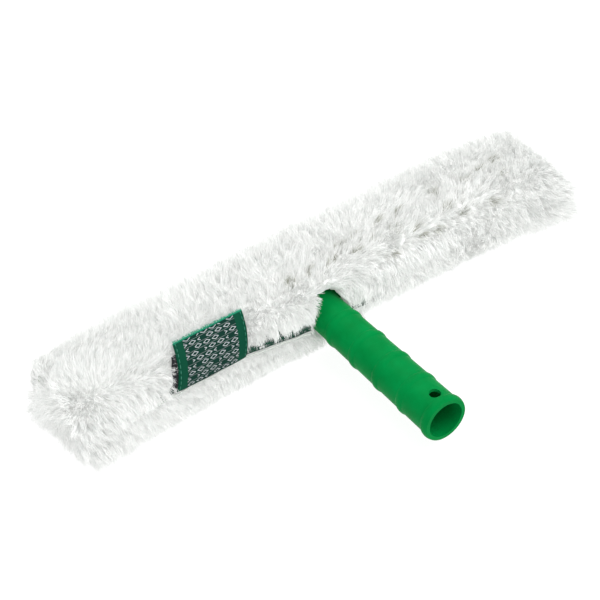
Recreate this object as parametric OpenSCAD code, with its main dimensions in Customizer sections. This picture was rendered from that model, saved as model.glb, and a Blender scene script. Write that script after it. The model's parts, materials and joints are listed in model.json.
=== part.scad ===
// Window washer: a T-bar with a socket handle inside a long-pile washing sleeve.
// Origin: centre of the pole socket's mouth. +X runs along the bar, -Y points out
// of the socket, +Z is up. The bar lies behind the origin, on the +Y side.

/* [Sleeve] */
// Length of the washing sleeve over its pile
sleeve_l = 366; // [350:1:450]
// Distance from the handle's axis to the sleeve's middle, along the bar
sleeve_x = 4; // [0:1:6]
// Depth of the sleeve, front to back
sleeve_d = 68; // [67:1:76]
// Height of the sleeve
sleeve_h = 54; // [53:1:60]
// Radius of the sleeve's long edges
sleeve_r = 20; // [18:1:22]
// Thickness of the pile, tip to backing
pile_t = 13; // [12:0.5:13]
// Thickness of the backing cloth
backing_t = 1; // [0.8:0.1:1.2]
// Gap between the sleeve's backing and the bar's parts
cavity_gap = 1.5; // [1:0.1:2]
// Height of the sleeve's and the bar's middle above the handle's axis
lift = 2; // [1:0.5:2.5]

/* [Closing flap] */
// Distance from the sleeve's left end to the slit
slit_from_end = 32; // [30:1:50]
// Distance that the slit runs past the handle's axis
slit_past_handle = 28; // [22:1:32]
// Height of the slit above the handle's axis
slit_z = 8; // [5:0.5:8.5]
// Gap between the two lips of the slit
lip_gap = 0.6; // [0.5:0.1:1]

/* [Handle] */
// Distance from the sleeve's middle to the socket's mouth
reach = 136.5; // [132:0.5:150]
// Outer radius of the handle at the sleeve
grip_r_root = 11.7; // [11.5:0.1:12]
// Outer radius of the handle behind its lip
grip_r_mouth = 13.4; // [13.2:0.1:14]
// Outer radius of the lip round the mouth
lip_r = 14.4; // [14:0.1:15]
// Length of the lip
lip_w = 6; // [5:0.5:8]
// Height of each rib above the grip
rib_h = 0.7; // [0.4:0.1:1.2]
// Width of each rib
rib_w = 6.4; // [5:0.2:8]
// Number of ribs
rib_count = 4; // [3:1:5]
// Distance from one rib to the next
rib_pitch = 22.4; // [18:0.2:23]
// Distance from the mouth to the first rib
rib_first = 26; // [24:1:28]

/* [Pole socket] */
// Radius of the pole socket
socket_r = 11.2; // [10.9:0.1:11.4]
// Depth of the straight part of the pole socket
socket_depth = 48; // [40:1:55]
// Radius of the narrow bore beyond the socket
core_r = 8.4; // [7:0.1:8.6]
// Radius of the hole for a pole's spring button
button_r = 3.4; // [2.5:0.1:3.5]
// Distance from the mouth to the middle of the button hole
button_from_mouth = 9.8; // [9.6:0.1:12]

/* [Crossbar] */
// Height of the crossbar
bar_h = 23; // [22:0.5:23]
// Wall thickness of the crossbar
bar_wall = 2.4; // [2:0.1:3]
// Radius of the crossbar's long edges
bar_r = 5; // [4:0.5:6]
// Distance that each end cap's plug goes into the crossbar
plug_l = 10; // [8:1:14]
// Thickness of each end cap's head
cap_t = 3; // [2:0.5:4]
// Number of water slots in each row
slot_count = 11; // [7:2:13]

/* [Label] */
// Width of the woven label
label_w = 47; // [40:1:52]
// Height of the woven label, measured over its curve
label_h = 27; // [24:1:30]
// Distance from the handle's axis to the middle of the label
label_off = 82; // [78:1:100]

/* [Hidden] */
$fn = 64;

GREEN = [0.02, 0.58, 0.31];
DARK_GREEN = [0.02, 0.30, 0.19];
WHITE = [0.93, 0.94, 0.92];
CLOTH = [0.85, 0.87, 0.84];
THREAD = [0.70, 0.74, 0.70];
BLACK = [0.08, 0.09, 0.09];
STEEL = [0.65, 0.66, 0.68];

eps = 0.01;
bar_y = reach;                                  // Y of the sleeve's middle
front_y = bar_y - sleeve_d/2;                   // outer face of the front pile
cloth_y = front_y + pile_t;                     // outer face of the front backing
cavity_d = sleeve_d - 2*pile_t - 2*backing_t;   // cavity inside the backing
cavity_h = sleeve_h - 2*pile_t - 2*backing_t;
half_l = sleeve_l/2;
top_z = lift + sleeve_h/2;
bottom_z = lift - sleeve_h/2;
pile_z = cavity_h/2 + backing_t;                // where the top and bottom pile start
right_x = sleeve_x + half_l - pile_t;           // inner faces of the two end panels
left_x = sleeve_x - half_l + pile_t;
inner_r = 4;                                    // edge radius inside the pile
end_fillet = 3;                                 // edge radius of the end panels

// Crossbar
flange_t = 3.5;                                 // handle flange on the bar's front
bar_d = cavity_d - 2*cavity_gap - flange_t;     // depth of the crossbar
bar_back = bar_y + cavity_d/2 - cavity_gap;     // back face of the crossbar
bar_front = bar_back - bar_d;                   // front face of the crossbar
bar_cy = (bar_front + bar_back)/2;
slack = 5;                                      // room at each end of the cavity
bar_half = -left_x - backing_t - slack - cap_t;
slot_w = 16;
slot_t = 5;
slot_pitch = 2*(bar_half - 20)/(slot_count - 1);
web_t = 2;                                      // cross webs inside the bar
web_x = 2.5*slot_pitch;

// Handle and flange
flange_l = 66;
flange_h = 17;
screw_x = 24;                                   // screws on either side of the handle
screw_r = 2;
screw_head_r = 4;
screw_head_t = 2;
screw_l = 12;
boss_r = 4.5;
core_depth = bar_front - 6;                     // closed end of the narrow bore

// Slit and flap
slit_x0 = sleeve_x - half_l + slit_from_end;
slit_x1 = slit_past_handle;
flap_z = slit_z - lip_gap;                      // top edge of the flap
flap_back = cloth_y - 0.4;                      // back of the flap's pile, clear of the bottom pile
backing_z = lift - cavity_h/2 + 1;                   // lower edge of the flap's backing
neck_r = grip_r_root + 2.4;                     // opening round the handle's root
neck_play = 7;                                  // room for the sleeve to shift in X
tape_t = 0.8;                                   // binding tapes
strip_t = 0.9;                                  // hook and loop strips
strip_h = 9;
thread_r = 0.35;
stitch_l = 3;
stitch_pitch = 5;
stitch_turn = 15;                               // degrees between stitches on the round edge

// Label, wrapped over the front edge of the upper lip
label_x0 = -label_off - label_w/2;
label_t = 0.8;
edge_z = top_z - sleeve_r;                      // where the front's flat ends and its round edge starts
label_turn = (label_h - edge_z + slit_z)/sleeve_r*180/PI;  // angle that it wraps
label_back = sleeve_r*(1 - cos(label_turn));     // how far behind the front its top edge lies
hook_peek = 3;                                  // hook strip beyond the label's edge
hook_back = label_back - 6;

// ---- outlines ----

// Rectangle w by h about the origin with round corners of radius r.
module round_rect(w, h, r) {
    square([w - 2*r, h], center = true);
    square([w, h - 2*r], center = true);
    for (sx = [-1, 1], sy = [-1, 1])
        translate([sx*(w/2 - r), sy*(h/2 - r)]) circle(r);
}

// Runs a YZ outline, drawn about the sleeve's middle, along X from x0 to x1.
module along_bar(x0, x1, y = bar_y)
    translate([x0, y, lift]) rotate([90, 0, 90]) linear_extrude(x1 - x0) children();

// The whole outer outline of the pile, and the outline of the backing's outside.
module pile_outline() round_rect(sleeve_d, sleeve_h, sleeve_r);
module backing_outline() round_rect(sleeve_d - 2*pile_t, sleeve_h - 2*pile_t, inner_r);

// The pile ring between y0..y1 and z0..z1, measured from the sleeve's middle.
module pile_region(y0, y1, z0, z1)
    intersection() {
        difference() {
            pile_outline();
            backing_outline();
        }
        translate([y0, z0]) square([y1 - y0, z1 - z0]);
    }

// A layer t thick that lies depth below the front of the pile, from height z0 up and back over the edge.
module front_layer(x0, x1, depth, t, z0, back)
    along_bar(x0, x1) intersection() {
        difference() {
            round_rect(sleeve_d - 2*depth, sleeve_h - 2*depth, sleeve_r - depth);
            round_rect(sleeve_d - 2*depth - 2*t, sleeve_h - 2*depth - 2*t, sleeve_r - depth - t);
        }
        translate([-sleeve_d/2, z0 - lift]) square([back, sleeve_h]);
    }

// The way through the front for the handle's root, with room for the sleeve's shift.
module neck_slot() {
    way_l = pile_t + backing_t + 8;
    for (s = [-1, 1])
        translate([s*neck_play, front_y - 5, 0]) rotate([-90, 0, 0]) cylinder(h = way_l, r = neck_r);
    translate([-neck_play, front_y - 5, -neck_r]) cube([2*neck_play, way_l, 2*neck_r]);
}

// One stitch along X that starts at pos.
module stitch(pos)
    translate(pos) rotate([0, 90, 0]) cylinder(h = stitch_l, r = thread_r, $fn = 16);

// One stitch across the round front edge, turn degrees up it, on a layer depth below the pile.
module edge_stitch(x, depth, turn)
    translate([x, front_y + sleeve_r, edge_z]) rotate([-turn, 0, 0])
        translate([0, depth - sleeve_r - thread_r, -stitch_l/2])
            cylinder(h = stitch_l, r = thread_r, $fn = 16);

// A row of stitches along X, from x0 to x1, on height z, lying at y.
module stitch_row(x0, x1, y, z)
    for (i = [0 : floor((x1 - x0 - stitch_l)/stitch_pitch)])
        stitch([x0 + i*stitch_pitch, y, z]);

// ---- T-bar ----

// Outer radius of the grip at distance s behind the mouth.
function grip_r(s) = grip_r_mouth + (grip_r_root - grip_r_mouth)*s/(bar_front - flange_t);

module rib(s)
    translate([0, s, 0]) rotate([-90, 0, 0])
        rotate_extrude($fn = 96) intersection() {
            translate([grip_r(s) + rib_h - rib_w, 0]) circle(rib_w, $fn = 96);
            translate([grip_r(s) - 1.5, -rib_w/2]) square([4, rib_w]);
        }

module handle_body() {
    rotate([-90, 0, 0])
        cylinder(h = bar_front - flange_t + eps, r1 = grip_r_mouth, r2 = grip_r_root, $fn = 96);
    // lip round the mouth
    translate([0, lip_w/2, 0]) rotate([-90, 0, 0]) rotate_extrude($fn = 96)
        intersection() {
            translate([lip_r - lip_w, 0]) circle(lip_w, $fn = 96);
            translate([socket_r + 1, -lip_w/2]) square([4, lip_w]);
        }
    for (i = [0 : rib_count - 1]) rib(rib_first + i*rib_pitch);
    // flange on the crossbar
    translate([0, bar_front, 0]) rotate([90, 0, 0])
        linear_extrude(flange_t) round_rect(flange_l, flange_h, 6);
}

module handle() color(GREEN) difference() {
    intersection() {
        handle_body();
        translate([-flange_l, -1, -lip_r - 2]) cube([2*flange_l, bar_front + 1, 2*lip_r + 4]);
    }
    // straight pole socket, shoulder and narrow bore
    translate([0, -1, 0]) rotate([-90, 0, 0]) cylinder(h = socket_depth + 1, r = socket_r, $fn = 96);
    translate([0, socket_depth - eps, 0]) rotate([-90, 0, 0])
        cylinder(h = 4, r1 = socket_r, r2 = core_r, $fn = 96);
    rotate([-90, 0, 0]) cylinder(h = core_depth, r = core_r, $fn = 96);
    // button hole through the upper wall
    translate([0, button_from_mouth, 0]) cylinder(h = lip_r + 4, r = button_r);
    // countersunk screw holes
    for (s = [-1, 1]) translate([s*screw_x, 0, 0]) rotate([-90, 0, 0]) {
        cylinder(h = bar_front + 1, r = screw_r);
        translate([0, 0, bar_front - flange_t]) cylinder(h = screw_head_t, r1 = screw_head_r, r2 = screw_r);
    }
}

module bar_tube() color(GREEN) difference() {
    union() {
        difference() {
            along_bar(-bar_half, bar_half, bar_cy) round_rect(bar_d, bar_h, bar_r);
            along_bar(-bar_half - 1, bar_half + 1, bar_cy)
                round_rect(bar_d - 2*bar_wall, bar_h - 2*bar_wall, bar_r - bar_wall);
        }
        // cross webs and screw bosses
        for (x = [-web_x, web_x])
            along_bar(x - web_t/2, x + web_t/2, bar_cy)
                round_rect(bar_d - bar_wall, bar_h - bar_wall, bar_r - bar_wall/2);
        for (s = [-1, 1]) translate([s*screw_x, bar_front + 0.5, 0]) rotate([-90, 0, 0])
            cylinder(h = screw_l, r = boss_r);
    }
    for (s = [-1, 1]) translate([s*screw_x, bar_front - 1, 0]) rotate([-90, 0, 0])
        cylinder(h = screw_l, r = screw_r);
    // water slots through the top and bottom walls, clear of the webs
    for (i = [0 : slot_count - 1])
    translate([(i - (slot_count - 1)/2)*slot_pitch, bar_cy, -bar_h]) {
        translate([-slot_w/2 + slot_t/2, -slot_t/2, 0]) cube([slot_w - slot_t, slot_t, 2*bar_h]);
        for (s = [-1, 1]) translate([s*(slot_w - slot_t)/2, 0, 0]) cylinder(h = 2*bar_h, r = slot_t/2);
    }
}

// End cap for the right end; the left one is its mirror image.
module end_cap() {
    along_bar(bar_half, bar_half + cap_t, bar_cy) round_rect(bar_d, bar_h, bar_r);
    difference() {
        along_bar(bar_half - plug_l, bar_half + eps, bar_cy)
            round_rect(bar_d - 2*bar_wall, bar_h - 2*bar_wall, bar_r - bar_wall);
        along_bar(bar_half - plug_l - 1, bar_half - 2, bar_cy)
            round_rect(bar_d - 4*bar_wall, bar_h - 4*bar_wall, 1);
    }
}
module end_cap_left() color(GREEN) mirror([1, 0, 0]) end_cap();
module end_cap_right() color(GREEN) end_cap();

module flange_screws() color(STEEL)
    for (s = [-1, 1]) translate([s*screw_x, 0, 0]) rotate([-90, 0, 0]) difference() {
        union() {
            translate([0, 0, bar_front - flange_t]) {
                cylinder(h = screw_head_t, r1 = screw_head_r, r2 = screw_r);
                cylinder(h = screw_l, r = screw_r);
            }
        }
        // cross recess
        for (a = [0, 90]) rotate([0, 0, a]) translate([-2, -0.4, bar_front - flange_t - 1]) cube([4, 0.8, 2]);
    }

// ---- washing sleeve ----

module sleeve_backing() color(CLOTH) difference() {
    along_bar(left_x, right_x) backing_outline();
    along_bar(left_x + backing_t, right_x - backing_t)
        round_rect(cavity_d, cavity_h, inner_r - backing_t);
    // the flap carries the backing of the slit's lower lip
    translate([slit_x0, cloth_y - 1, lift - cavity_h/2])
        cube([slit_x1 - slit_x0, backing_t + 1 + eps, cavity_h/2 - lift + slit_z]);
    neck_slot();
}

// Room in the pile for the label and its hook strip.
module label_seat()
    front_layer(label_x0 - hook_peek, label_x0 + label_w, 0, label_t + strip_t, slit_z - 1, label_back);

module pile_top() color(WHITE) difference() {
    along_bar(left_x, right_x) pile_region(-sleeve_d/2 + pile_t, sleeve_d/2, pile_z, sleeve_h/2);
    label_seat();
}

module pile_back() color(WHITE)
    along_bar(left_x, right_x) pile_region(0, sleeve_d/2, -pile_z, pile_z);

module pile_bottom() color(WHITE) difference() {
    along_bar(left_x, right_x) pile_region(-sleeve_d/2 + pile_t, sleeve_d/2, -sleeve_h/2, -pile_z);
    neck_slot();
}

// Part of the front between heights z0 and z1 above the handle's axis.
module front_pile(x0, x1, z0, z1)
    along_bar(x0, x1) pile_region(-sleeve_d/2, -sleeve_d/2 + pile_t, z0 - lift, z1 - lift);

module pile_front_left() color(WHITE) difference() {
    union() {
        front_pile(left_x, slit_x1 - lip_gap, slit_z, top_z);
        front_pile(left_x, slit_x0 - lip_gap, bottom_z, slit_z + eps);
    }
    neck_slot();
    label_seat();
    // the lip's binding tape
    translate([slit_x0, front_y + 2, slit_z - 1]) cube([slit_x1 - slit_x0, sleeve_d, 1 + tape_t]);
}

module pile_front_right() color(WHITE)
    front_pile(slit_x1, right_x, bottom_z, top_z);

// Turns a piece of the sleeve's right end into the same piece of its left end.
module to_left_end() translate([2*sleeve_x, 0, 0]) mirror([1, 0, 0]) children();

// End panel for the right end: the full outline, with its outer edge eased.
module end_pile() {
    along_bar(right_x, right_x + pile_t - end_fillet) pile_outline();
    along_bar(right_x + pile_t - end_fillet - eps, right_x + pile_t)
        round_rect(sleeve_d - 2*end_fillet, sleeve_h - 2*end_fillet, sleeve_r - end_fillet);
}
module pile_end_left() color(WHITE) to_left_end() end_pile();
module pile_end_right() color(WHITE) end_pile();

module lip_binding() color(DARK_GREEN) difference() {
    translate([slit_x0, front_y + 2, slit_z]) cube([slit_x1 - slit_x0 - lip_gap, pile_t - 2, tape_t]);
    neck_slot();
}

module woven_label() color(DARK_GREEN)
    front_layer(label_x0, label_x0 + label_w, 0, label_t, slit_z, label_back);

module hook_strip() color(BLACK)
    front_layer(label_x0 - hook_peek, label_x0 + label_w - 1, label_t, strip_t, slit_z + 1, hook_back);

// Stitches along the hook strip's edge that the label leaves bare.
module hook_stitches() color(THREAD)
    for (turn = [15 : stitch_turn : 45]) edge_stitch(label_x0 - hook_peek/2, label_t, turn);

// Stitches along the label's two side edges.
module label_stitches() color(THREAD)
    for (x = [label_x0 + 1.5, label_x0 + label_w - 1.5], turn = [10 : stitch_turn : 70])
        edge_stitch(x, 0, turn);

module seam_front() color(THREAD)
    stitch_row(slit_x1 + 2, right_x - 2, cloth_y + backing_t + thread_r, lift);

// End seam for the right end, round the inside of the end panel.
module seam_end()
    for (s = [-1, 1], i = [0 : 6])
        translate([right_x - backing_t - thread_r, bar_y - 17 + i*stitch_pitch,
                   lift + s*(cavity_h/2 - 1)])
            rotate([-90, 0, 0]) cylinder(h = stitch_l, r = thread_r, $fn = 16);
module seam_end_left() color(THREAD) to_left_end() seam_end();
module seam_end_right() color(THREAD) seam_end();

// ---- closing flap ----

// The flap stays clear of the sleeve by flap_gap behind and lip_gap all round.
module pile_flap() color(WHITE) difference() {
    front_pile(slit_x0, slit_x1 - lip_gap, bottom_z, flap_z);
    neck_slot();
    translate([slit_x0 - 1, flap_back, bottom_z - 1]) cube([slit_x1 - slit_x0 + 2, pile_t, sleeve_h]);
    // seats for the tape and the loop strip
    translate([slit_x0 - 1, front_y + 3, flap_z - tape_t]) cube([slit_x1 - slit_x0 + 2, pile_t, 1 + tape_t]);
    translate([label_x0, flap_back - strip_t, flap_z - tape_t - strip_h])
        cube([label_w, pile_t, strip_h + tape_t]);
}

module flap_backing() color(CLOTH) difference() {
    translate([slit_x0 + lip_gap, flap_back, backing_z])
        cube([slit_x1 - slit_x0 - 2*lip_gap, backing_t, flap_z - backing_z]);
    neck_slot();
}

module flap_binding() color(DARK_GREEN) difference() {
    translate([slit_x0, front_y + 3, flap_z - tape_t])
        cube([slit_x1 - slit_x0 - lip_gap, flap_back - front_y - 3, tape_t]);
    neck_slot();
}

module loop_strip() color(BLACK)
    translate([label_x0, flap_back - strip_t, flap_z - tape_t - strip_h]) cube([label_w, strip_t, strip_h]);

module loop_stitches() color(THREAD)
    for (z = [flap_z - 2, flap_z - strip_h + 1])
        stitch_row(label_x0 + 2, label_x0 + label_w - 2, flap_back + backing_t + thread_r, z);

handle();
bar_tube();
end_cap_left();
end_cap_right();
flange_screws();
sleeve_backing();
pile_top();
pile_back();
pile_bottom();
pile_front_left();
pile_front_right();
pile_end_left();
pile_end_right();
lip_binding();
hook_strip();
hook_stitches();
woven_label();
label_stitches();
seam_front();
seam_end_left();
seam_end_right();
pile_flap();
flap_backing();
flap_binding();
loop_strip();
loop_stitches();
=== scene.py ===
"""A window washer: a green T-bar with a ribbed socket handle, inside a thick white pile sleeve.

Lengths are in millimetres in the functions below, in the CAD's frame. They turn into metres where a mesh
is made. Directions round the sleeve are (y, z), since it runs along X.
"""
import json
import math
from itertools import product
import bpy
import numpy as np
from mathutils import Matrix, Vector
from mathutils.kdtree import KDTree

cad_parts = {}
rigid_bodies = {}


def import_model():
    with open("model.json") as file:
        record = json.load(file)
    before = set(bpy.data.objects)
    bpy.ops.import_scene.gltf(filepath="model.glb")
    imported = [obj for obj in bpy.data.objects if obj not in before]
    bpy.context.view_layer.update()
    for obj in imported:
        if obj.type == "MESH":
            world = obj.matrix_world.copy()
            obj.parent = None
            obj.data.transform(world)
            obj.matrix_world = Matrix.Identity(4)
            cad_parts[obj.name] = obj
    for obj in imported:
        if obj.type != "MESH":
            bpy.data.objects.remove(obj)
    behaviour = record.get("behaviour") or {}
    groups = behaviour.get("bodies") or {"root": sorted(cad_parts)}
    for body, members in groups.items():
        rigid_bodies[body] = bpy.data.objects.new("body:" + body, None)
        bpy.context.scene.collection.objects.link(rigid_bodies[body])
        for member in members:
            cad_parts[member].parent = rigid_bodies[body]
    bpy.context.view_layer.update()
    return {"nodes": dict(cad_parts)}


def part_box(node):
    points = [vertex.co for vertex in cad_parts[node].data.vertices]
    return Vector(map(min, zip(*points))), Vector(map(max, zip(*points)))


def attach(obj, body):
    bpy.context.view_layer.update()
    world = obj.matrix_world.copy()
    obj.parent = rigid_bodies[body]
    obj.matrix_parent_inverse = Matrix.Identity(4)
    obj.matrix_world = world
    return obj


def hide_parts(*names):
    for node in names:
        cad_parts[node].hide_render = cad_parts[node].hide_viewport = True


for o in list(bpy.data.objects):
    bpy.data.objects.remove(o, do_unlink=True)
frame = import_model()
cad = frame["nodes"]
MM = 0.001


def cad_range(node):
    """Lowest and highest corner of a CAD node, in mm."""
    lo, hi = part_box(node)
    return np.array(lo) / MM, np.array(hi) / MM


SKIN_LO, SKIN_HI = cad_range("sleeve_backing")   # outside of the cloth that the pile grows from
FLAP_LO, FLAP_HI = cad_range("pile_flap")
SLEEVE_LO = cad_range("pile_end_left")[0]
SLEEVE_HI = cad_range("pile_end_right")[1]
LABEL_LO = cad_range("woven_label")[0]
BAR_FRONT = cad_range("bar_tube")[0][1]
FLOOR = SLEEVE_LO[2]
PILE = SKIN_LO[1] - SLEEVE_LO[1]                   # length of the pile
R_IN = 7.0                                         # radius of the cloth's long edges, inside the pile
R_OUT = R_IN + PILE
LIP_Z = FLAP_HI[2]                                 # height of the slit in the CAD
FRONT_CLOTH_Y = SKIN_LO[1]


# ---- node helpers ----

def material(name, rough=0.5, spec=0.5):
    m = bpy.data.materials.new(name)
    m.use_nodes = True
    nt = m.node_tree
    bsdf = nt.nodes["Principled BSDF"]
    bsdf.inputs["Roughness"].default_value = rough
    bsdf.inputs["Specular IOR Level"].default_value = spec
    return m, nt, bsdf


def node(nt, kind, inputs=None, **settings):
    n = nt.nodes.new(kind)
    for k, v in settings.items():
        setattr(n, k, v)
    for k, v in (inputs or {}).items():
        if isinstance(v, bpy.types.NodeSocket):
            nt.links.new(v, n.inputs[k])
        else:
            n.inputs[k].default_value = v
    return n


def calc(nt, operation, *values, clamp=False):
    n = node(nt, "ShaderNodeMath", operation=operation, use_clamp=clamp)
    for i, v in enumerate(values):
        if isinstance(v, bpy.types.NodeSocket):
            nt.links.new(v, n.inputs[i])
        else:
            n.inputs[i].default_value = v
    return n.outputs[0]


def ramp(nt, value, *stops):
    """A colour ramp through (place, (r, g, b)) stops."""
    n = node(nt, "ShaderNodeValToRGB", {"Fac": value})
    e = n.color_ramp.elements
    while len(e) < len(stops):
        e.new(0.5)
    for x, (p, c) in zip(e, stops):
        x.position, x.color = p, (*c, 1)
    return n.outputs["Color"]


def mix(nt, fac, a, b):
    n = node(nt, "ShaderNodeMix", data_type="RGBA")
    sockets = {"fac": n.inputs[0], "a": n.inputs[6], "b": n.inputs[7]}
    for k, v in (("fac", fac), ("a", a), ("b", b)):
        if isinstance(v, bpy.types.NodeSocket):
            nt.links.new(v, sockets[k])
        else:
            sockets[k].default_value = v if k == "fac" else (*v, 1)
    return n.outputs[2]


def object_xyz(nt):
    c = node(nt, "ShaderNodeTexCoord").outputs["Object"]
    return c, node(nt, "ShaderNodeSeparateXYZ", {"Vector": c}).outputs


def grain(nt, scale, detail=3.0, rough=0.5, where=None):
    inputs = {"Vector": where or object_xyz(nt)[0], "Scale": scale, "Detail": detail, "Roughness": rough}
    return node(nt, "ShaderNodeTexNoise", inputs).outputs["Fac"]


def bump(nt, bsdf, height, strength, distance):
    n = node(nt, "ShaderNodeBump", {"Height": height, "Strength": strength, "Distance": distance})
    nt.links.new(n.outputs["Normal"], bsdf.inputs["Normal"])


# ---- materials ----

def plastic(name, dark, light, rough=0.36):
    """Moulded plastic: faint mottling, fine grain and a roughness that wanders."""
    m, nt, b = material(name, rough, 0.02)
    where, _ = object_xyz(nt)
    colour = ramp(nt, grain(nt, 90, 4, 0.6, where), (0.3, dark), (0.7, light))
    nt.links.new(colour, b.inputs["Base Color"])
    r = node(nt, "ShaderNodeMapRange", {"Value": grain(nt, 260, 3, 0.5, where),
                                        "To Min": rough - 0.05, "To Max": rough + 0.1})
    nt.links.new(r.outputs["Result"], b.inputs["Roughness"])
    bump(nt, b, grain(nt, 2600, 2, 0.5, where), 0.12, 0.0002)
    return m


def steel():
    m, nt, b = material("screw_steel_zinc", 0.3)
    b.inputs["Metallic"].default_value = 1.0
    where, _ = object_xyz(nt)
    zinc = ramp(nt, grain(nt, 700, 3, 0.6, where), (0.35, (0.5, 0.5, 0.49)), (0.65, (0.68, 0.67, 0.64)))
    nt.links.new(zinc, b.inputs["Base Color"])
    bump(nt, b, grain(nt, 3000, 2, 0.5, where), 0.2, 0.0001)
    return m


def pile_white(name, low, high, spread=320.0):
    """Fibres of the pile, each a little whiter or greyer than the next, with a faint painted glow over all of
    them and painted shade deep in the partings.
    """
    m, nt, b = material(name, 0.7, 0.1)
    # painted light: a faint glow over every fibre, standing in for the light that real fibres pass on to each
    # other, which opaque strands would lose
    b.inputs["Emission Color"].default_value = (1.0, 1.0, 0.985, 1)
    b.inputs["Emission Strength"].default_value = 0.07
    where, _ = object_xyz(nt)
    white = ramp(nt, grain(nt, spread, 3, 0.7, where), (0.33, low), (0.62, high))
    # painted shade: a weight on each point darkens fibres and underfur to olive deep in the partings, where
    # shade falls
    parted = node(nt, "ShaderNodeAttribute", attribute_name="parted").outputs["Fac"]
    nt.links.new(mix(nt, parted, white, (0.2, 0.21, 0.12)), b.inputs["Base Color"])
    return m


def weave(name, dark, light, pitch=0.8, rough=0.8, fuzz=0.5):
    """Plain woven cloth: warp and weft threads that pass over and under each other."""
    m, nt, b = material(name, rough, 0.2)
    b.inputs["Sheen Weight"].default_value = 0.25
    where, (x, y, z) = object_xyz(nt)
    k = math.pi / (pitch * MM)
    across = calc(nt, "ADD", y, z)
    warp = calc(nt, "ABSOLUTE", calc(nt, "SINE", calc(nt, "MULTIPLY", x, k)))
    weft = calc(nt, "ABSOLUTE", calc(nt, "SINE", calc(nt, "MULTIPLY", across, k)))
    turn = calc(nt, "MULTIPLY", calc(nt, "SINE", calc(nt, "MULTIPLY", x, k / 2)),
                calc(nt, "SINE", calc(nt, "MULTIPLY", across, k / 2)))
    over = calc(nt, "GREATER_THAN", turn, 0.0)
    height = calc(nt, "ADD", calc(nt, "MULTIPLY", warp, over),
                  calc(nt, "MULTIPLY", weft, calc(nt, "SUBTRACT", 1.0, over)))
    speckle = calc(nt, "MULTIPLY", grain(nt, 900, 3, 0.7, where), fuzz)
    tint = calc(nt, "ADD", calc(nt, "MULTIPLY", height, 0.6), speckle)
    nt.links.new(ramp(nt, tint, (0.25, dark), (0.85, light)), b.inputs["Base Color"])
    bump(nt, b, height, 0.5, 0.0003)
    return m


GREEN = plastic("green_plastic_moulded", (0.0, 0.19, 0.038), (0.0, 0.232, 0.05))
BAR_GREEN = plastic("green_plastic_bar", (0.0, 0.17, 0.036), (0.0, 0.21, 0.046), 0.42)
STEEL = steel()
FUR = pile_white("pile_fibres", (0.86, 0.88, 0.87), (0.97, 0.97, 0.96))
CLOTH = weave("backing_weave", (0.20, 0.24, 0.19), (0.55, 0.60, 0.50), 0.9)
# painted shade: the binding tape's near-black green is partly its own colour and partly shade painted in for
# the slit where it shows between the strands
TAPE = weave("binding_tape", (0.0, 0.02, 0.012), (0.002, 0.075, 0.042), 0.6)
THREAD = weave("sewing_thread", (0.0, 0.10, 0.06), (0.03, 0.28, 0.17), 0.4)
HOOK = weave("closure_tape", (0.002, 0.002, 0.003), (0.022, 0.024, 0.028), 0.5, 0.8, 0.8)

FINISH = {"green_plastic": GREEN, "screw_steel": STEEL, "backing_fabric": CLOTH, "tape_fabric": TAPE,
          "thread": THREAD, "closure_fabric": HOOK, "pile_fabric": FUR, "label_fabric": TAPE}
BAR_PARTS = ("bar_tube", "end_cap_left", "end_cap_right")
for name, o in cad.items():
    for s in o.material_slots:
        key = next((k for k in FINISH if s.material and s.material.name.startswith(k)), "green_plastic")
        s.material = BAR_GREEN if name in BAR_PARTS else FINISH[key]


# ---- mesh helpers ----

def mesh_piece(name, verts_mm, faces, mats, body, smooth=True):
    me = bpy.data.meshes.new(name)
    v = np.asarray(verts_mm, float) * MM
    if isinstance(faces, tuple):                  # (flat vertex indices, corners of each face)
        flat, sizes = faces
        me.vertices.add(len(v))
        me.vertices.foreach_set("co", v.astype(np.float32).ravel())
        me.loops.add(len(flat))
        me.loops.foreach_set("vertex_index", flat.astype(np.int32))
        me.polygons.add(len(sizes))
        me.polygons.foreach_set("loop_start", np.concatenate([[0], np.cumsum(sizes)[:-1]]).astype(np.int32))
        me.polygons.foreach_set("loop_total", sizes.astype(np.int32))
        me.update(calc_edges=True)
    else:
        me.from_pydata(v.tolist(), [], faces)
    me.validate()
    if smooth:
        me.polygons.foreach_set("use_smooth", np.ones(len(me.polygons), bool))
    for m in mats:
        me.materials.append(m)
    o = bpy.data.objects.new(name, me)
    bpy.context.scene.collection.objects.link(o)
    if body:
        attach(o, body)
    return o


def smoothstep(a, b, x):
    t = np.clip((x - a) / (b - a), 0, 1)
    return t * t * (3 - 2 * t)


def wander(points, scale, seed):
    """Smooth random vectors at these points, from -0.75 to 0.75; scale is their size in mm."""
    # random vectors at the corners of a grid, blended inside each cell; the same in every run
    table = np.random.default_rng(1000 + seed).uniform(-0.75, 0.75, (4096, 3))
    p = np.asarray(points, float) / scale
    cell = np.floor(p).astype(np.int64)
    inside = p - cell
    inside = inside * inside * (3 - 2 * inside)
    total = np.zeros((len(p), 3))
    for corner in product((0, 1), repeat=3):
        c = cell + corner
        at = (c[:, 0] * 73856093 ^ c[:, 1] * 19349663 ^ c[:, 2] * 83492791) % len(table)
        weight = np.abs(1 - np.array(corner) - inside).prod(1)
        total += table[at] * weight[:, None]
    return total


# ---- the pile ----

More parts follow.
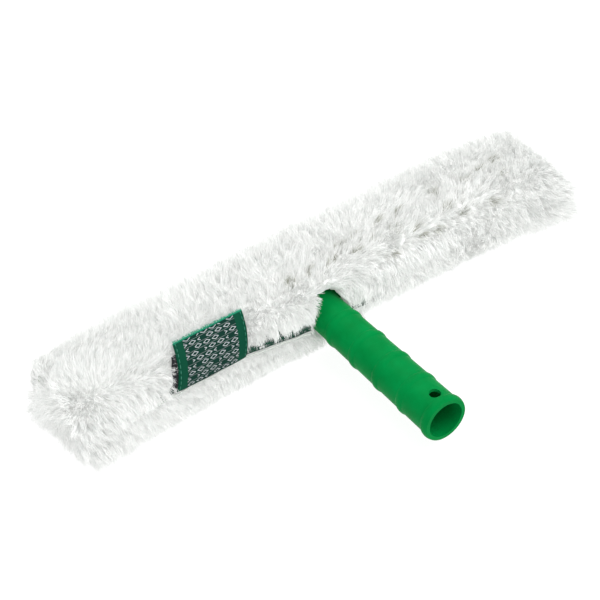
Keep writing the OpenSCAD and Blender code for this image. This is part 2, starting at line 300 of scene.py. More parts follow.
def section(u):
    """Skin point, outer point and normal at arc length u round the sleeve, from the foot of the front up."""
    ylo, zlo, yhi, zhi = SKIN_LO[1], SKIN_LO[2], SKIN_HI[1], SKIN_HI[2]
    flat_z, flat_y, arc = zhi - zlo - 2 * R_IN, yhi - ylo - 2 * R_IN, R_OUT * math.pi / 2
    centres = [(ylo + R_IN, zlo + R_IN), (ylo + R_IN, zhi - R_IN),
               (yhi - R_IN, zhi - R_IN), (yhi - R_IN, zlo + R_IN)]
    u = np.asarray(u, float) % (2 * (flat_z + flat_y) + 4 * arc)
    skin, out, n = np.zeros((len(u), 2)), np.zeros((len(u), 2)), np.zeros((len(u), 2))
    start = 0.0
    for k, flat in enumerate((flat_z, flat_y, flat_z, flat_y)):
        turn0 = math.pi - k * math.pi / 2          # direction of the face's normal
        a, b = np.array(centres[k]), np.array(centres[(k + 1) % 4])
        nn = np.array([math.cos(turn0), math.sin(turn0)])
        on = (u >= start) & (u < start + flat)
        t = ((u[on] - start) / flat)[:, None]
        n[on] = nn
        skin[on], out[on] = a + (b - a) * t + nn * R_IN, a + (b - a) * t + nn * R_OUT
        start += flat
        on = (u >= start) & (u < start + arc)
        ang = turn0 - (u[on] - start) / R_OUT
        nn = np.stack([np.cos(ang), np.sin(ang)], 1)
        n[on] = nn
        skin[on], out[on] = b + nn * R_IN, b + nn * R_OUT
        start += arc
    return skin, out, n


ROUND = 2 * (SKIN_HI[2] - SKIN_LO[2] + SKIN_HI[1] - SKIN_LO[1] - 4 * R_IN) + 2 * math.pi * R_OUT


def toward_back_edge(n):
    """1 where the pile points to the upper back edge, -1 where it points to the lower front edge."""
    return 0.745 * n[:, 0] + 0.676 * n[:, 1]


def swell(x, n):
    """How much longer or shorter the pile is at x where it points to n, in mm."""
    front_foot = np.clip(-toward_back_edge(n), 0, 1) ** 3
    back_edge = np.clip(toward_back_edge(n), 0, 1) ** 3
    low = np.interp(x, [-179, -165, -150, -120, -90, -60, -20, 20, 40, 70, 120, 145, 165, 187],
                    [-1, 6, 6.5, 0, -4.5, -8.5, -8.5, -7, -7, -5.5, -4.5, -2.5, 1, 8])
    top = np.interp(x, [-179, -160, -140, -100, 120, 150, 170, 187], [-4, -2.5, -0.5, 1.4, 2.2, 0.6, -2, -5])
    return front_foot * low + back_edge * top


def end_shift(x, n):
    """How far the pile's tips near the ends stand in from the plain outline, along the bar, in mm."""
    up = toward_back_edge(n)
    left = 2.5 + 9 * np.clip(np.abs(up), 0, 1)
    right = 10.5 - 14 * np.clip(-up, 0, 1)
    return (left * smoothstep(SLEEVE_LO[0] + 28, SLEEVE_LO[0] + 3, x)
            - right * smoothstep(SLEEVE_HI[0] - 28, SLEEVE_HI[0] - 3, x))


def crease(x, n):
    """Depth of the valley along the right half, above the front band, in mm."""
    at, half_width, depth = math.radians(133), 0.2, 4.8
    ang = np.arctan2(n[:, 1], n[:, 0])
    return smoothstep(15, 60, x) * smoothstep(178, 150, x) * np.exp(-((ang - at) / half_width) ** 2) * depth


SLIT_X0, SLIT_X1 = FLAP_LO[0], FLAP_HI[0]


def slit_z(x):
    """Height of the slit between the lips, which droops towards the handle."""
    return np.interp(x, [SLIT_X0, -109, -62, -25, SLIT_X1], [3.5, 6.6, 8.0, 1.5, -3.0])


# Label: a slanted strip from the front plane over the round front edge
LABEL_W, LABEL_SLANT = 46.5, 8.2
LABEL_X = LABEL_LO[0] - 3.3
LABEL_Z0 = LABEL_LO[2] - 0.9
FLAT_PART = 1.9
LABEL_TURN = math.radians(75)
LABEL_LEN = FLAT_PART + LABEL_TURN * R_OUT


def label_point(s, t, lift=0.0):
    """Point of the label: s and t run from 0 to 1 along the bar and up it; lift is in mm above the pile."""
    s, t = np.asarray(s, float), np.asarray(t, float)
    d = t * LABEL_LEN
    ang = np.clip((d - FLAT_PART) / R_OUT, 0, None)
    c = np.array([SKIN_LO[1] + R_IN, SKIN_HI[2] - R_IN])
    r = R_OUT + lift
    x = LABEL_X + LABEL_W * s + LABEL_SLANT * t
    z = np.where(d < FLAT_PART, LABEL_Z0 + d, c[1] + r * np.sin(ang))
    return np.stack([x, c[0] - r * np.cos(ang), z], -1)


rng = np.random.default_rng(11)
DENSITY = 2.5                                     # strands on each mm2 of the outside
CLUMP = 3.8                                        # mm between the middles of two locks


def grid(w, h, pitch):
    """Jittered points over w by h."""
    nx, ny = max(1, round(w / pitch)), max(1, round(h / pitch))
    a, b = np.meshgrid((np.arange(nx) + 0.5) / nx * w, (np.arange(ny) + 0.5) / ny * h)
    j = rng.uniform(-0.5, 0.5, (2, nx * ny)) * pitch
    return a.ravel() + j[0], b.ravel() + j[1]


def long_places(a, u):
    """Root, tip and direction of the pile at a mm from the left end and u mm round the sleeve."""
    length = SLEEVE_HI[0] - SLEEVE_LO[0]
    skin, out, n = section(u)
    end = np.minimum(a, length - a)                # distance from the nearer end
    push = np.where(end < R_OUT, (R_OUT - end) * (PILE / R_OUT), 0)
    side = np.where(a < length / 2, 1, -1)
    x = SLEEVE_LO[0] + a
    return np.column_stack([x + side * push, skin]), np.column_stack([x, out]), n


END_W, END_H = SLEEVE_HI[1] - SLEEVE_LO[1] - 3, SLEEVE_HI[2] - SLEEVE_LO[2] - 3


def end_places(q, side):
    """The same for points q from the middle of an end; side is -1 at the left and 1 at the right."""
    mid = (SLEEVE_LO + SLEEVE_HI) / 2
    face = SKIN_LO[0] if side < 0 else SKIN_HI[0]
    shrink = np.array([(SKIN_HI[1] - SKIN_LO[1]) / END_W, (SKIN_HI[2] - SKIN_LO[2]) / END_H]) * 0.97
    rim = np.clip(np.maximum(np.abs(q[:, 0]) / (END_W / 2), np.abs(q[:, 1]) / (END_H / 2)), 0, 1)
    root = np.column_stack([np.full(len(q), face), q * shrink + mid[1:]])
    tip = np.column_stack([face + side * PILE * (1.05 - 0.5 * rim ** 3), q + mid[1:]])
    return root, tip, q / np.maximum(np.linalg.norm(q, axis=1), END_H / 2)[:, None]


def square_to_round(i, j):
    """Points of the -1..1 square moved into the end's round-cornered outline."""
    q = np.column_stack([i * END_W / 2, j * END_H / 2])
    core = np.array([END_W / 2 - R_OUT, END_H / 2 - R_OUT])
    over = np.abs(q) - core
    both = (over > 0).all(1)
    r = np.maximum(over[:, 0], over[:, 1])
    size = np.maximum(np.linalg.norm(over, axis=1), 1e-6)
    q[both] = (np.sign(q) * (core + over * (r / size)[:, None]))[both]
    return q


def near_label(p):
    """How far points lie inside the label's outline, in mm; below 0 is outside."""
    c = np.array([SKIN_LO[1] + R_IN, SKIN_HI[2] - R_IN])
    dy, dz = c[0] - p[:, 1], p[:, 2] - c[1]
    ang = np.arctan2(np.maximum(dz, 0), dy)
    d = np.where(dz < 0, FLAT_PART + dz, FLAT_PART + ang * R_OUT)
    s = p[:, 0] - LABEL_X - LABEL_SLANT * (d / LABEL_LEN)
    front = (p[:, 1] < c[0] + 4) & (dy > -4)
    inside = np.minimum(np.minimum(s, LABEL_W - s), np.minimum(d, LABEL_LEN - d))
    return np.where(front, inside, -99)


def grow_all():
    """Every strand's root, tip, direction and kind: 0 round the sleeve, 1 and 2 ends, 3 the flap's foot."""
    pitch = 1 / math.sqrt(DENSITY)
    parts = [(*long_places(*grid(SLEEVE_HI[0] - SLEEVE_LO[0], ROUND, pitch)), 0)]
    for kind, side in ((1, -1), (2, 1)):
        a, b = grid(END_W, END_H, pitch)
        parts.append((*end_places(square_to_round(2 * a / END_W - 1, 2 * b / END_H - 1), side), kind))
    # a thicker fringe along the upper lip, which hangs over the slit
    a, b = grid(SLIT_X1 - SLIT_X0 - 4, 7, 0.42)
    above = LIP_Z - SKIN_LO[2] - R_IN + 0.4 + np.clip(b, 0, 7)
    parts.append((*long_places(SLIT_X0 + 2 - SLEEVE_LO[0] + a, above), 0))
    # the part of the flap that lies under the round lower edge
    a, b = grid(SLIT_X1 - SLIT_X0 - 2, 13, pitch)
    foot_root = np.column_stack([SLIT_X0 + 1 + a, np.full(len(a), FRONT_CLOTH_Y - 0.4), FLOOR + 2 + b])
    lean = smoothstep(13, 0, b)
    foot_tip = foot_root + np.column_stack([0 * a, -PILE * (1 - 0.45 * lean), -3 - 4 * lean])
    parts.append((foot_root, foot_tip, np.column_stack([-np.ones(len(a)), 0 * a]), 3))
    kinds = np.concatenate([np.full(len(p[0]), p[3]) for p in parts])
    return (*(np.concatenate(x) for x in zip(*(p[:3] for p in parts))), kinds)


GRIP = 13.6                                        # radius of the handle's root, with some room
PANELS = {"fur_top": ("pile_top", "sleeve"), "fur_back": ("pile_back", "sleeve"),
          "fur_bottom": ("pile_bottom", "sleeve"), "fur_front_left": ("pile_front_left", "sleeve"),
          "fur_front_right": ("pile_front_right", "sleeve"), "fur_end_left": ("pile_end_left", "sleeve"),
          "fur_end_right": ("pile_end_right", "sleeve"), "fur_flap": ("pile_flap", "flap")}


def panel_of(root, n, kind):
    """Which piece a strand or a patch of underfur belongs to, from its root and its direction."""
    names = np.full(len(root), "fur_bottom", dtype=object)
    along, slope = kind == 0, 0.7072               # slope: just past 45 degrees
    names[along & (n[:, 1] > slope)] = "fur_top"
    names[along & (n[:, 0] > slope)] = "fur_back"
    front = along & (n[:, 0] < -slope)
    names[front & (root[:, 0] < SLIT_X1)] = "fur_front_left"
    names[front & (root[:, 0] >= SLIT_X1)] = "fur_front_right"
    names[front & (root[:, 0] > SLIT_X0) & (root[:, 0] < SLIT_X1) & (root[:, 2] <= LIP_Z)] = "fur_flap"
    names[kind == 1] = "fur_end_left"
    names[kind == 2] = "fur_end_right"
    names[kind == 3] = "fur_flap"
    by_handle = (np.hypot(root[:, 0], root[:, 2]) < GRIP) & (root[:, 1] < BAR_FRONT + 3.5)
    names[by_handle & (kind != 1) & (kind != 2)] = ""
    return names


def shaped(root, tip, n, kind):
    """Tips moved out or in to the sleeve's real outline."""
    out = tip - root
    size = np.linalg.norm(out, axis=1)
    corner = toward_back_edge(n)
    grow = np.where(kind == 0, swell(tip[:, 0], n) - crease(tip[:, 0], n),
                    1.5 * np.clip(-corner, 0, 1) - 2.5 * np.clip(corner, 0, 1))
    grow[kind == 3] = np.interp(tip[kind == 3, 0], [-150, -110, -60, 30], [0, -1, -4, -4])
    tip = root + out * ((size + grow) / size)[:, None]
    tip[:, 0] += end_shift(tip[:, 0], n)
    return tip


def underfur(height=0.45, pitch=1.6):
    """Panels of a bumpy surface at part of the pile's height: (name, points, quads) for each piece, with the
    painted parting shade of each point.
    """
    length = SLEEVE_HI[0] - SLEEVE_LO[0]
    nx, nu = round(length / pitch), round(ROUND / pitch)
    found = {}

    def add(root, tip, n, kind, rows, columns, closed):
        full = shaped(root, tip, n, kind)
        out = (full - root) / np.linalg.norm(full - root, axis=1)[:, None]
        at = parting(full, out)[0]
        # painted shade: the underfur darkens towards the middle of each parting
        shade_in_parting = np.clip(at * 5, 0, 1)
        p = root + (full - root) * (height * (1 - 0.7 * np.clip(at * 1.6, 0, 1)))[:, None]
        p = p + wander(p, 3.2, 8) * 0.9
        p[:, 2] = np.maximum(p[:, 2], FLOOR + 0.5)
        names = panel_of(root, n, kind)
        r, c = np.meshgrid(np.arange(rows - 1), np.arange(columns if closed else columns - 1), indexing="ij")
        r, c = r.ravel(), c.ravel()
        q = np.stack([r * columns + c, r * columns + (c + 1) % columns,
                      (r + 1) * columns + (c + 1) % columns, (r + 1) * columns + c], 1)
        near = root[q]
        cut = (near[:, :, 2].min(1) <= LIP_Z) & (near[:, :, 2].max(1) > LIP_Z)
        cut &= (near[:, :, 1].max(1) < FRONT_CLOTH_Y + 1)
        cut &= (near[:, :, 0].min(1) > SLIT_X0 - 1) & (near[:, :, 0].max(1) < SLIT_X1 + 1)
        for name in PANELS:
            on = (names[q[:, 0]] == name) & ~cut & (names[q] != "").all(1)
            if on.any():
                used, again = np.unique(q[on], return_inverse=True)
                found.setdefault(name, []).append((p[used], again.reshape(-1, 4), shade_in_parting[used]))

    a, u = np.meshgrid(np.linspace(0, length, nx), np.arange(nu) / nu * ROUND, indexing="ij")
    a, u = a.ravel(), u.ravel()
    add(*long_places(a, u), np.zeros(len(a), int), nx, nu, True)
    for kind, side in ((1, -1), (2, 1)):
        w, h = 41, 33
        i, j = np.meshgrid(np.linspace(-1, 1, w), np.linspace(-1, 1, h), indexing="ij")
        add(*end_places(square_to_round(i.ravel(), j.ravel()), side), np.full(w * h, kind), w, h, False)
    return found


root, tip, n, kind = grow_all()
count = len(root)
along = kind == 0
tip = shaped(root, tip, n, kind)
normal = (tip - root) / np.linalg.norm(tip - root, axis=1)[:, None]

# locks: every strand belongs to the nearest lock middle, and leans to that lock's tip
order = rng.permutation(count)
mids = []
taken = {}                                         # lock middles, by the cell of a grid that they lie in
probe = root + (tip - root) * 0.8
LEAST = CLUMP * CLUMP * 0.55                       # least squared distance between lock middles


def has_neighbour(i, cell):
    for step in product((-1, 0, 1), repeat=3):
        for j in taken.get(tuple(c + d for c, d in zip(cell, step)), ()):
            gap = probe[i] - probe[j]
            if gap @ gap < LEAST:
                return True
    return False


for i in order:
    cell = tuple(int(c) for c in np.floor(probe[i] / CLUMP))
    if not has_neighbour(i, cell):
        taken.setdefault(cell, []).append(i)
        mids.append(i)
mids = np.array(mids)
tree = KDTree(len(mids))
for j, i in enumerate(mids):
    tree.insert(probe[i], j)
tree.balance()
lock = np.array([tree.find(p)[1] for p in probe])

# small partings in three loose rows along the top and front of the right half
partings = []
for back, x, last in ((31, 25, 150), (19, -18, 150), (5.5, 50, 135)):
    y = SLEEVE_LO[1] + back
    while x < last:
        yy = y + rng.normal(0, 2.5)
        zz = SKIN_HI[2] + PILE
        if yy < SKIN_LO[1] + R_IN:
            zz = SKIN_HI[2] - R_IN + math.sqrt(max(R_OUT ** 2 - (SKIN_LO[1] + R_IN - yy) ** 2, 0))
        partings.append((x, yy, zz))
        x += rng.uniform(11, 26)
partings = np.array(partings)


def parting(p, out, reach=3.0):
    """How deep in a parting each point p with normal out lies, 0 to 1, and the way out of it."""
    d = p[:, None, :] - partings[None]
    depth = (d * out[:, None, :]).sum(2)
    d -= out[:, None, :] * depth[:, :, None]
    near = np.linalg.norm(d * np.array([0.6, 1.2, 1.2]), axis=2) + np.where(np.abs(depth) > 9, 99, 0)
    k = near.argmin(1)
    rows = np.arange(len(p))
    return np.clip(1 - near[rows, k] / reach, 0, 1), d[rows, k]


broad = wander(tip[mids], 38.0, 1) * 5.0 + wander(tip[mids], 14.0, 2) * 4.5
broad += rng.normal(0, 1.5, (len(mids), 3))
broad *= np.where(kind[mids] > 0, 0.55, 1)[:, None]
# the pile turns round a whorl at the left end's upper front corner
whorl = np.array([SKIN_LO[0] + 14, SLEEVE_LO[1] + 17, SKIN_HI[2] + PILE])
from_whorl = tip[mids] - whorl
far = np.linalg.norm(from_whorl, axis=1)[:, None]
turned = from_whorl / np.maximum(far, 1) * 4.0
broad = broad * smoothstep(4, 34, far) + turned * smoothstep(0, 9, far) * smoothstep(42, 14, far)
broad -= normal[mids] * (broad * normal[mids]).sum(1)[:, None]
foot = np.clip(-toward_back_edge(n[mids]), 0, 1)
lock_len = 1 + rng.normal(0, 0.07, len(mids)) + np.clip(rng.normal(0, 0.13, len(mids)), -0.05, 0.3) * foot
lock_tip = root[mids] + (tip[mids] - root[mids]) * lock_len[:, None] + broad
pull = rng.uniform(0.15, 0.6, len(mids))[lock][:, None]
jitter = rng.normal(0, 0.8, (count, 3))
strand_len = (1 + rng.normal(0, 0.06, count))[:, None]
own_tip = root + (tip - root) * strand_len + broad[lock]
tip = own_tip * (1 - pull) + (lock_tip[lock] + (own_tip - lock_tip[lock]) * 0.25) * pull + jitter

# gravity, and the floor
tip[:, 2] -= 1.2 * np.clip(1 - normal[:, 2] ** 2, 0, 1)
tip[:, 2] = np.maximum(tip[:, 2], FLOOR + 0.3 + rng.uniform(0, 0.8, count))

# the slit: strands turn away from it, and the lower lip's lie back from its edge
on_front = along & (n[:, 0] < -0.6) & (tip[:, 0] > SLIT_X0) & (tip[:, 0] < SLIT_X1)
zs = slit_z(tip[:, 0])
upper = on_front & (root[:, 2] > LIP_Z)
lower = on_front & (root[:, 2] <= LIP_Z)
sag = np.maximum(LIP_Z + 0.5 - zs, 0)
hang = upper * (sag * smoothstep(LIP_Z + 13, LIP_Z + 1, tip[:, 2])
                + 1.8 * smoothstep(LIP_Z + 8, LIP_Z + 1, tip[:, 2]))
tip[:, 2] -= hang + lower * sag * smoothstep(LIP_Z - 14, LIP_Z, tip[:, 2])
bare = 2.4 * smoothstep(-30, -18, tip[:, 0])         # the tape shows beside the handle
tip[:, 2] = np.where(upper, np.maximum(tip[:, 2], zs - 1.5 + bare + rng.uniform(0, 1.7, count)), tip[:, 2])
tip[:, 2] = np.where(lower, np.minimum(tip[:, 2], zs - 1.7 - rng.uniform(0, 2.2, count)), tip[:, 2])

# partings
at, away = parting(tip, normal)
tip = tip + away / np.maximum(np.linalg.norm(away, axis=1), 0.3)[:, None] * (at * 3.8)[:, None]

# the label: what grows under it is cut off below it
covered = along & ((near_label(tip) > 0.4) | (near_label(root + (tip - root) * 0.8) > 0.4))
tip = np.where(covered[:, None], root + (tip - root) * 0.78, tip)

def clear_of_handle(p):
    """Points moved out of the handle, to lie on it."""
    r = np.hypot(p[:, 0], p[:, 2])
    on = (p[:, 1] < BAR_FRONT) & (r < GRIP)
    scale = np.where(on, GRIP / np.maximum(r, 1e-3), 1)
    return p * np.column_stack([scale, np.ones(len(p)), scale])


# each strand is a bent ribbon: its middle line at the places T, its width at all but the last
bend = root + normal * (np.linalg.norm(tip - root, axis=1) * 0.55)[:, None]
T = [0.0, 0.36, 0.78, 1.0]
WIDE = [0.44, 0.40, 0.30]
curl = wander(probe[mids], 4.0, 6)[lock] * 2.2 + rng.normal(0, 0.4, (count, 3))
pts = []
for t in T:
    p = root * (1 - t) ** 2 + bend * (2 * t * (1 - t)) + tip * t * t
    if 0 < t < 1:
        p = p + rng.normal(0, 0.3, (count, 3)) + curl * math.sin(math.pi * t)
    pts.append(clear_of_handle(p))
axis = pts[-1] - pts[0]
axis /= np.linalg.norm(axis, axis=1)[:, None]
side = np.cross(axis, rng.normal(0, 1, (count, 3)))
side /= np.linalg.norm(side, axis=1)[:, None]

panel = panel_of(root, n, kind)
base = underfur()
for name, (replaced, body) in PANELS.items():
    on = np.flatnonzero(panel == name)
    k = len(on)
    rows = []
    for p, w in zip(pts[:3], WIDE):
        rows += [p[on] - side[on] * w / 2, p[on] + side[on] * w / 2]
    rows.append(pts[3][on])
    verts = np.stack(rows, 1).reshape(-1, 3)       # seven points a strand
    # painted shade: strands in a parting darken at the roots and middle, less at the tip
    parted = (np.clip((at[on] - 0.38) * 2.2, 0, 0.9)[:, None] * np.array([1, 1, 1, 1, 0.8, 0.8, 0.4])).ravel()
    first = (np.arange(k) * 7)[:, None]
    corners = (first + np.array([[0, 1, 3, 2, 2, 3, 5, 4, 4, 5, 6]])).ravel()
    sizes = np.tile(np.array([4, 4, 3]), k)
    for p, q, w in base[name]:
        corners = np.concatenate([corners, (q + len(verts)).ravel()])
        sizes = np.concatenate([sizes, np.full(len(q), 4)])
        verts = np.concatenate([verts, p])
        parted = np.concatenate([parted, w])
    verts[:, 2] = np.maximum(verts[:, 2], FLOOR + 0.1)
    o = mesh_piece(name, verts, (corners, sizes), [FUR], body, smooth=False)
    o.data.attributes.new("parted", "FLOAT", "POINT").data.foreach_set("value", parted.astype(np.float32))
    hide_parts(replaced)
    print("FUR", name, k)

# ---- label ----

def label_material():
    m, nt, b = material("label_woven", 0.7, 0.1)
    uv = node(nt, "ShaderNodeUVMap", uv_map="label").outputs["UV"]
    u, v, _z = node(nt, "ShaderNodeSeparateXYZ", {"Vector": uv}).outputs
    # the motif: rows of outlined lozenges, every second row shifted by half
    rows, across = 9.0, 8.0
    vy = calc(nt, "MULTIPLY", v, rows)
    row = calc(nt, "FLOOR", vy)
    shift = calc(nt, "MULTIPLY", calc(nt, "MODULO", row, 2.0), 0.5)
    ux = calc(nt, "ADD", calc(nt, "MULTIPLY", u, across), shift)
    fx = calc(nt, "ABSOLUTE", calc(nt, "SUBTRACT", calc(nt, "FRACT", ux), 0.5))
    fy = calc(nt, "ABSOLUTE", calc(nt, "SUBTRACT", calc(nt, "FRACT", vy), 0.5))
    d = calc(nt, "ADD", calc(nt, "MULTIPLY", fx, 0.95), calc(nt, "MULTIPLY", fy, 1.1))
    ring = calc(nt, "LESS_THAN", calc(nt, "ABSOLUTE", calc(nt, "SUBTRACT", d, 0.35)), 0.06)
    gap = calc(nt, "GREATER_THAN", calc(nt, "FRACT", calc(nt, "ADD", calc(nt, "MULTIPLY", ux, 0.29),
                                                          calc(nt, "MULTIPLY", row, 0.43))), 0.2)
    line = calc(nt, "GREATER_THAN", fy, 0.465)
    mark = calc(nt, "MAXIMUM", calc(nt, "MULTIPLY", ring, gap), calc(nt, "MULTIPLY", line, 0.35))
    inner = calc(nt, "MULTIPLY", calc(nt, "GREATER_THAN", u, 0.13), calc(nt, "LESS_THAN", u, 0.87))
    edge = calc(nt, "MULTIPLY", calc(nt, "GREATER_THAN", v, 0.03), calc(nt, "LESS_THAN", v, 0.95))
    mark = calc(nt, "MULTIPLY", calc(nt, "MULTIPLY", mark, inner), edge)
    # threads
    tx = calc(nt, "ABSOLUTE", calc(nt, "SINE", calc(nt, "MULTIPLY", u, math.pi * LABEL_W / 0.45)))
    ty = calc(nt, "ABSOLUTE", calc(nt, "SINE", calc(nt, "MULTIPLY", v, math.pi * LABEL_LEN / 0.45)))
    rib = calc(nt, "MULTIPLY", tx, ty)
    ground = mix(nt, inner, (0.0, 0.06, 0.03), (0.002, 0.026, 0.019))
    ground = mix(nt, calc(nt, "MULTIPLY", rib, 0.2), ground, (0.004, 0.11, 0.06))
    pale = mix(nt, grain(nt, 900, 2, 0.6), (0.42, 0.46, 0.48), (0.68, 0.70, 0.72))
    colour = mix(nt, mark, ground, pale)
    top = calc(nt, "GREATER_THAN", v, 0.965)
    colour = mix(nt, calc(nt, "MULTIPLY", top, 0.8), colour, (0.02, 0.30, 0.17))
    nt.links.new(colour, b.inputs["Base Color"])
    bump(nt, b, calc(nt, "ADD", rib, calc(nt, "MULTIPLY", mark, 0.6)), 0.4, 0.0003)
    return m


def curved_strip(name, s0, s1, t0, t1, ns, nt_, lift, mat, body, ripple=0.25, seed=3, curl=0.0,
                 sunk=0.0):
    s = np.linspace(s0, s1, ns)
    t = np.linspace(t0, t1, nt_)
    S, Tt = np.meshgrid(s, t)
    S, Tt = S.ravel(), Tt.ravel()
    p = label_point(S, Tt, lift)
    w = wander(p, 9.0, seed)[:, 1] * ripple
    c = np.array([SKIN_LO[1] + R_IN, SKIN_HI[2] - R_IN])
    rad = np.column_stack([0 * S, p[:, 1] - c[0], np.maximum(p[:, 2] - c[1], 0)])
    rad /= np.linalg.norm(rad, axis=1)[:, None]
    edge = smoothstep(0.06, 0, np.minimum(S - s0, s1 - S))
    down = sunk * smoothstep(0.0, -0.03, S) * (0.55 + 0.45 * np.cos(13 * Tt))
    p = p + rad * (w + curl * edge - down)[:, None]
    faces = [(j * ns + i, j * ns + i + 1, (j + 1) * ns + i + 1, (j + 1) * ns + i)
             for j in range(nt_ - 1) for i in range(ns - 1)]
    o = mesh_piece(name, p, faces, [mat], body)
    uv = o.data.uv_layers.new(name="label")
    idx = np.zeros(len(o.data.loops), np.int32)
    o.data.loops.foreach_get("vertex_index", idx)
    coords = np.column_stack([(S - s0) / (s1 - s0), (Tt - t0) / (t1 - t0)])[idx]
    uv.data.foreach_set("uv", coords.astype(np.float32).ravel())
    solid = o.modifiers.new("thick", "SOLIDIFY")
    solid.thickness, solid.offset = 0.0006, -1
    return o


label = curved_strip("label_patch", 0, 1, 0, 1, 61, 45, 0.35, label_material(), "sleeve",
                     ripple=0.5, curl=-0.3)
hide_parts("woven_label", "label_stitches")
hook = curved_strip("hook_patch", -0.055, 0.97, 0.06, 0.78, 61, 31, -0.75, HOOK, "sleeve",
                    ripple=0.4, seed=5, sunk=2.6)
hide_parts("hook_strip", "hook_stitches")


def tubes(name, paths, radius, mat, body, sides=6):
    """One piece of many small threads, each a tapered tube along its own points."""
    verts, faces = [], []
    for path in paths:
        path = np.asarray(path, float)
        ahead = np.gradient(path, axis=0)
        ahead /= np.linalg.norm(ahead, axis=1)[:, None]
        ref = np.array([0.31, 0.52, 0.79])
        for i, (p, a) in enumerate(zip(path, ahead)):
            u = np.cross(a, ref)
            u /= np.linalg.norm(u)
            v = np.cross(a, u)
            r = radius * (0.45 if i in (0, len(path) - 1) else 1)
            for k in range(sides):
                t = 2 * math.pi * k / sides
                verts.append(p + r * (math.cos(t) * u + math.sin(t) * v))
        first = len(verts) - len(path) * sides
        for i in range(len(path) - 1):
            for k in range(sides):
                a0 = first + i * sides + k
                a1 = first + i * sides + (k + 1) % sides
                faces.append((a0, a1, a1 + sides, a0 + sides))
        faces.append(tuple(first + k for k in reversed(range(sides))))
        faces.append(tuple(first + (len(path) - 1) * sides + k for k in range(sides)))
    return mesh_piece(name, verts, faces, [mat], body)


def grid_faces(rows, columns):
    return [(i * columns + j, i * columns + j + 1, (i + 1) * columns + j + 1, (i + 1) * columns + j)
            for i in range(rows - 1) for j in range(columns - 1)]


def lip_tape(name, x0, x1, front, above, back_z, body, seed):
    """A tape along the slit: its front edge follows the slit's sag, its back edge lies flat on the cloth."""
    xs = np.linspace(x0, x1, max(8, int((x1 - x0) / 1.5)))
    ts = np.linspace(0, 1, 9)
    X, Tt = np.meshgrid(xs, ts)
    X, Tt = X.ravel(), Tt.ravel()
    z = (slit_z(X) + above) * (1 - Tt) ** 1.5 + back_z * (1 - (1 - Tt) ** 1.5)
    p = np.column_stack([X, front + (FRONT_CLOTH_Y - 0.5 - front) * Tt, z])
    p += wander(p, 7.0, seed) * np.array([0, 0.4, 0.25])
    o = mesh_piece(name, p, grid_faces(len(ts), len(xs)), [TAPE], body)
    solid = o.modifiers.new("thick", "SOLIDIFY")
    solid.thickness, solid.offset = 0.0005, 0
    return o


def fray_green():
    m, nt, b = material("label_fray", 0.7, 0.2)
    nt.links.new(ramp(nt, grain(nt, 1500, 2, 0.5), (0.35, (0.01, 0.22, 0.13)), (0.65, (0.08, 0.5, 0.33))),
                 b.inputs["Base Color"])
    return m


def off_white_hem():
    m, nt, b = material("hem_knit", 0.8, 0.1)
    where, (x, y, z) = object_xyz(nt)
    along_hem = calc(nt, "MULTIPLY", calc(nt, "ADD", x, z), math.pi / 0.0007)
    ribs = calc(nt, "ABSOLUTE", calc(nt, "SINE", along_hem))
    speckle = calc(nt, "MULTIPLY", grain(nt, 800, 3, 0.6, where), 0.5)
    tint = calc(nt, "ADD", calc(nt, "MULTIPLY", ribs, 0.5), speckle)
    nt.links.new(ramp(nt, tint, (0.2, (0.36, 0.40, 0.37)), (0.8, (0.78, 0.80, 0.77))), b.inputs["Base Color"])
    bump(nt, b, ribs, 0.4, 0.0002)
    return m


CLEAR_X = 15.5                                     # the tapes end beside the handle's root
LIP_BACK, FLAP_BACK = LIP_Z + 1.2, LIP_Z - 0.4     # heights of the tapes' back edges
LEFT_FRONT, RIGHT_FRONT = SLEEVE_LO[1] + 2.0, SLEEVE_LO[1] + 3.5
tapes = [lip_tape("lip_tape", SLIT_X0, -CLEAR_X, LEFT_FRONT, 0.4, LIP_BACK, "sleeve", 21),
         lip_tape("lip_tape_right", CLEAR_X, SLIT_X1 - 0.4, RIGHT_FRONT, 0.5, LIP_BACK, "sleeve", 22),
         lip_tape("flap_tape", SLIT_X0 + 0.5, -CLEAR_X, LEFT_FRONT, -1.3, FLAP_BACK, "flap", 23),
         lip_tape("flap_tape_right", CLEAR_X, SLIT_X1 - 0.9, RIGHT_FRONT, -1.3, FLAP_BACK, "flap", 24)]
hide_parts("lip_binding")
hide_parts("flap_binding")
xs = np.linspace(SLIT_X0 + 6, -CLEAR_X - 1, 90)
hem_line = np.column_stack([xs, np.full(90, SLEEVE_LO[1] + 0.5), slit_z(xs) - 1.5])
hem_line += wander(hem_line, 6.0, 31) * np.array([0, 0.8, 0.7])
tubes("flap_hem", [hem_line], 0.62, off_white_hem(), "flap", 10)

fray = []
for s0 in rng.uniform(0.01, 0.99, 150):
    t1 = 1 + rng.uniform(0.012, 0.045)
    a = label_point([s0, s0 + rng.normal(0, 0.004), s0 + rng.normal(0, 0.012)], [0.99, (1 + t1) / 2, t1], 0.1)
    a[:, 1:] += rng.normal(0, 0.12, (3, 2))
    fray.append(a)
tubes("label_fray", fray, 0.16, fray_green(), "sleeve", 4)
sewn = []
for s0 in (0.03, 0.97):
    for t0 in np.arange(0.05, 0.93, 0.105):
        sewn.append(label_point([s0] * 4, np.linspace(t0, t0 + 0.07, 4), 0.45) )
tubes("label_sewing", sewn, 0.22, THREAD, "sleeve")


